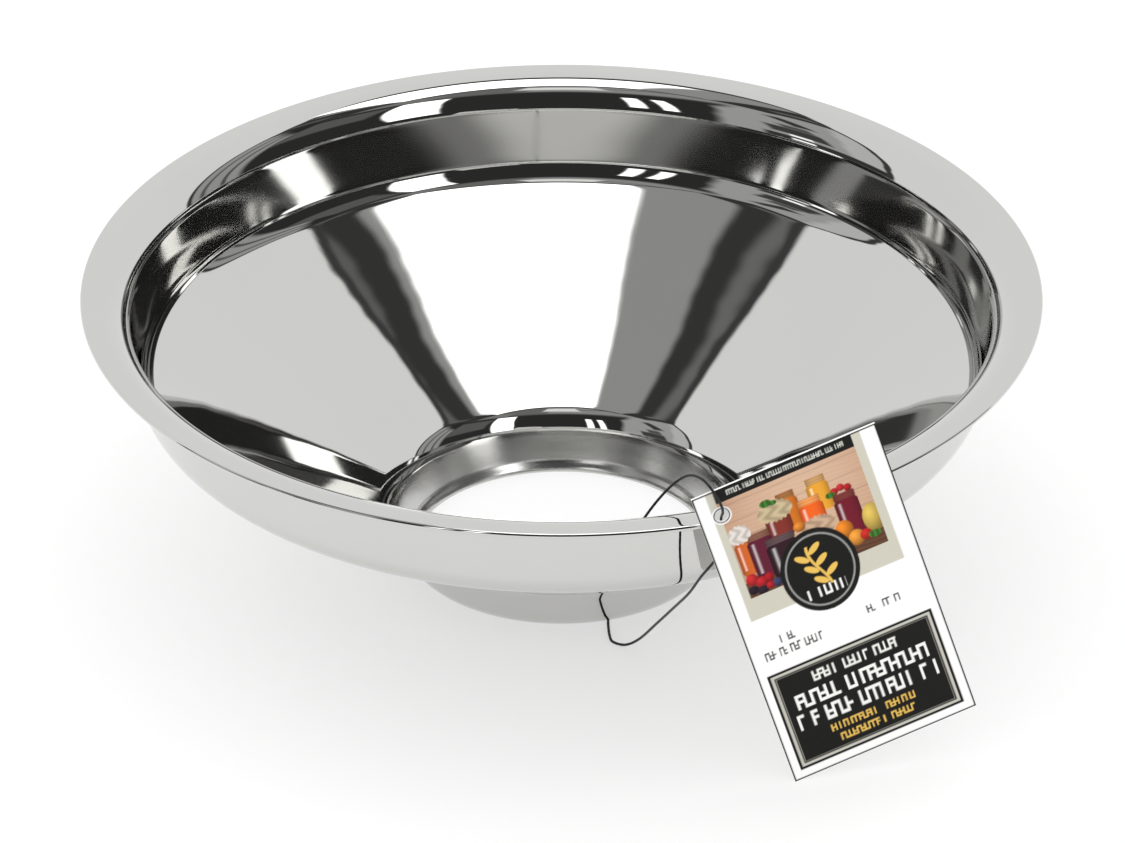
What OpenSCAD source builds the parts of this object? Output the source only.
// Canning funnel pressed from one steel sheet, with its card hang tag on a thread loop.
// Millimetres. Origin: centre of the spout's bottom edge. +Z up, front of the funnel towards -Y.

/* [Rim] */
// Outside diameter of the rim
rim_d = 140; // [134:1:144]
// Height of the rim's top face above the spout's bottom edge
rim_h = 43; // [42:0.5:48]

/* [Step wall] */
// Distance from the rim's edge to where its top face would meet the step wall with no bend
flange_w = 6.7; // [5.8:0.1:8]
// Depth of the bend between step wall and cone below the rim's top face
wall_depth = 13.8; // [12:0.1:15]
// Slope of the step wall from the horizontal, degrees
wall_slope = 81; // [75:1:86]
// Inside radius of the bend from rim to step wall
rim_bend_r = 5.0; // [3:0.1:5.5]
// Radius of the bend from step wall to cone
cone_bend_r = 4.6; // [3:0.1:6]

/* [Cone and spout] */
// Slope of the cone from the horizontal, degrees
cone_slope = 31; // [29:0.5:33]
// Slope of the spout wall from the horizontal, degrees
spout_slope = 70; // [65:1:78]
// Radius of the bend from cone to spout
neck_bend_r = 5.9; // [3:0.1:6]
// Inside radius of the spout at its bottom edge
spout_r = 21.5; // [20:0.1:22]
// Height of the turned-in lip at the spout's bottom edge
lip_h = 1.3; // [1:0.1:2]
// Slope of the turned-in lip from the horizontal, degrees
lip_slope = 48; // [44:1:55]
// Radius of the bend from spout wall to lip
lip_bend_r = 2.5; // [1:0.1:3]
// Thickness of the steel sheet
sheet_t = 0.8; // [0.6:0.05:1]

/* [Hang tag] */
// Width of the card
tag_w = 28; // [24:0.5:30]
// Height of the card
tag_h = 50; // [44:0.5:54]
// Thickness of the card
tag_t = 0.4; // [0.3:0.05:0.5]
// Diameter of the punched hole
tag_hole_d = 2.0; // [1.8:0.1:2.2]
// Distance of the hole's centre from the card's left edge
tag_hole_side = 3.3; // [3:0.1:4]
// Distance of the hole's centre from the card's top edge
tag_hole_top = 4.2; // [4:0.1:5]

/* [Thread] */
// Diameter of the thread
thread_d = 0.4; // [0.3:0.05:0.45]
// Sides of the thread's tube
thread_sides = 8; // [6:1:12]
// Rings of the tube for each point of the thread's route
thread_rings = 2; // [1:1:4]

/* [Hidden] */

steel = "silver";
card = "white";
thread_colour = "black";

bend_steps = 8;   // straight pieces in each bend of the sheet
edge_steps = 6;   // straight pieces round the rim's edge

// ---- directions and bends in the sheet's section: [radius, height] points ----
function unit(v) = v / norm(v);
function toward(slope) = [-cos(slope), -sin(slope)];   // inwards and down along a slope
function under(slope) = [sin(slope), -cos(slope)];     // from the upper face to the lower face

// Corners of the upper face, before the bends are rounded.
wall_top = [rim_d / 2 - flange_w, rim_h];
wall_foot = wall_top + wall_depth / sin(wall_slope) * toward(wall_slope);
lip_end = [spout_r, 0];
lip_top = lip_end - lip_h / sin(lip_slope) * toward(lip_slope);
neck_r = (wall_foot[1] - lip_top[1] - wall_foot[0] * tan(cone_slope) + lip_top[0] * tan(spout_slope))
       / (tan(spout_slope) - tan(cone_slope));
neck = [neck_r, lip_top[1] + (neck_r - lip_top[0]) * tan(spout_slope)];

// Points along a bend at corner c from slope a to slope b. r is the bend's radius at the upper
// face; shift moves the points to the lower face. A bend that gets steeper has its centre below.
function bend(c, a, b, r, shift) =
    let (steeper = b > a ? 1 : -1,
         run = r * tan(abs(b - a) / 2),
         start = c - run * toward(a),
         centre = start + steeper * r * under(a))
    [for (i = [0:bend_steps])
        let (s = a + (b - a) * i / bend_steps)
        centre - steeper * (r - steeper * shift) * under(s)];

// The rim's rounded edge, a half circle from its lower face to its upper face.
edge_centre = [rim_d / 2 - sheet_t / 2, rim_h - sheet_t / 2];
edge = [for (i = [0:edge_steps])
        let (turn = -90 + 180 * i / edge_steps)
        edge_centre + sheet_t / 2 * [cos(turn), sin(turn)]];

function face(shift) = concat(
    bend(wall_top, 0, wall_slope, rim_bend_r, shift),
    bend(wall_foot, wall_slope, cone_slope, cone_bend_r, shift),
    bend(neck, cone_slope, spout_slope, neck_bend_r, shift),
    bend(lip_top, spout_slope, lip_slope, lip_bend_r, shift),
    [lip_end + [shift / sin(lip_slope), 0]]);

function reversed(list) = [for (i = [len(list) - 1:-1:0]) list[i]];

// ---- where the tag stands: lower left corner on the floor, face turned and leaning on the rim ----
tag_foot = [33.3, -66.2, 0.02];
tag_turn = 14.5;     // turned from the front towards +X
tag_lean = 2;        // leaning back towards the funnel
tag_roll = 17.7;     // rolled in its own plane

module on_tag() {
    translate(tag_foot)
        rotate([0, 0, tag_turn])
        rotate([90 - tag_lean, 0, 0])
        rotate([0, 0, tag_roll])
        children();
}

// ---- the thread's route, from the knot through the tag's hole, down through the bore, under ----
// ---- the spout's edge and up outside the bowl to the knot again ----
thread_route = [
    [22.5, -66.3, 39.7], [22.3, -66.7, 42.0], [22.4, -66.8, 43.8], [22.5, -67.2, 44.6],
    [22.6, -67.9, 45.4], [22.4, -68.5, 46.8], [21.4, -68.2, 48.7], [19.8, -66.3, 49.8],
    [17.9, -62.7, 48.4], [15.7, -59.2, 44.9], [13.0, -56.7, 40.0], [10.4, -55.2, 34.6],
    [8.8, -52.2, 28.3], [8.0, -46.4, 22.0], [7.5, -38.8, 16.7], [7.1, -31.0, 12.1],
    [7.0, -26.3, 9.3], [6.9, -23.9, 7.5], [6.9, -22.8, 5.6], [6.9, -21.9, 4.2],
    [6.8, -20.8, 3.1], [6.8, -19.6, 2.3], [6.8, -19.2, 1.4], [6.8, -19.5, 0.6],
    [6.8, -20.3, 0.23], [6.8, -21.4, 0.23], [6.8, -23.2, 0.22], [7.0, -26.2, 0.22],
    [7.5, -28.0, 0.23], [9.3, -29.4, 0.6], [11.3, -31.7, 3.0], [13.7, -39.4, 10.2],
    [16.1, -51.2, 20.0], [18.0, -60.8, 28.0], [19.7, -65.2, 33.4], [21.4, -66.6, 36.6],
    [22.4, -66.4, 38.6]
];

knot_bottom = [22.45, -66.3, 38.9];
knot_top = [22.5, -66.25, 39.6];
knot_r = 0.62;
// Free ends of the thread beyond the knot: where each one stops
tail_ends = [[24.6, -64.8, 36.6], [25.6, -65.2, 38.4]];

// ---- a tube carried along a route, its rings turned as little as possible ----
// Point at part t of the way from b to c on the smooth curve that also passes through a and d
function between(a, b, c, d, t) =
    (2 * b + t * (c - a) + t * t * (2 * a - 5 * b + 4 * c - d) + t * t * t * (3 * b - a - 3 * c + d)) / 2;
function smooth(p, steps) = concat(
    [for (i = [0:len(p) - 2])
     for (k = [0:steps - 1])
     between(p[max(i - 1, 0)], p[i], p[i + 1], p[min(i + 2, len(p) - 1)], k / steps)],
    [p[len(p) - 1]]);

function tangent(p, i) = unit(p[min(i + 1, len(p) - 1)] - p[max(i - 1, 0)]);
function square_to(v, t) = unit(v - (v * t) * t);

module tube(route, d, sides) {
    tangents = [for (i = [0:len(route) - 1]) tangent(route, i)];
    across = [for (i = 0, a = square_to([1, 0, 0], tangents[0]);
                   i < len(route);
                   i = i + 1, a = i < len(route) ? square_to(a, tangents[i]) : a) a];
    points = [for (i = [0:len(route) - 1])
              for (k = [0:sides - 1])
              let (turn = 360 * k / sides)
              route[i] + d / 2 * (cos(turn) * across[i] + sin(turn) * cross(tangents[i], across[i]))];
    last = len(points) - sides;
    walls = [for (i = [0:len(route) - 2])
             for (k = [0:sides - 1])
             let (a = i * sides + k, b = i * sides + (k + 1) % sides)
             [a, a + sides, b + sides, b]];
    ends = [[for (k = [0:sides - 1]) k], [for (k = [sides - 1:-1:0]) last + k]];
    polyhedron(points, concat(walls, ends), convexity = 10);
}

// A straight round rod between two points
module rod(from, to, d) {
    along = to - from;
    translate(from)
        rotate([0, acos(along[2] / norm(along)), atan2(along[1], along[0])])
        cylinder(h = norm(along), d = d, $fn = 24);
}

// ---- the pieces ----
module funnel_shell() {
    color(steel)
        rotate_extrude($fn = 144)
        polygon(concat(edge, face(0), reversed(face(sheet_t))));
}

module hang_tag() {
    color(card)
        on_tag()
        translate([0, 0, -tag_t])
        difference() {
            cube([tag_w, tag_h, tag_t]);
            translate([tag_hole_side, tag_h - tag_hole_top, -tag_t])
                cylinder(h = 3 * tag_t, d = tag_hole_d, $fn = 48);
        }
}

module tag_thread() {
    color(thread_colour) tube(smooth(thread_route, thread_rings), thread_d, thread_sides);
}

module thread_knot() {
    color(thread_colour)
        union() {
            rod(knot_bottom, knot_top, 2 * knot_r);
            translate(knot_bottom) sphere(r = knot_r, $fn = 24);
            translate(knot_top) sphere(r = knot_r, $fn = 24);
            for (end = tail_ends) rod((knot_bottom + knot_top) / 2, end, thread_d);
        }
}

funnel_shell();
hang_tag();
tag_thread();
thread_knot();
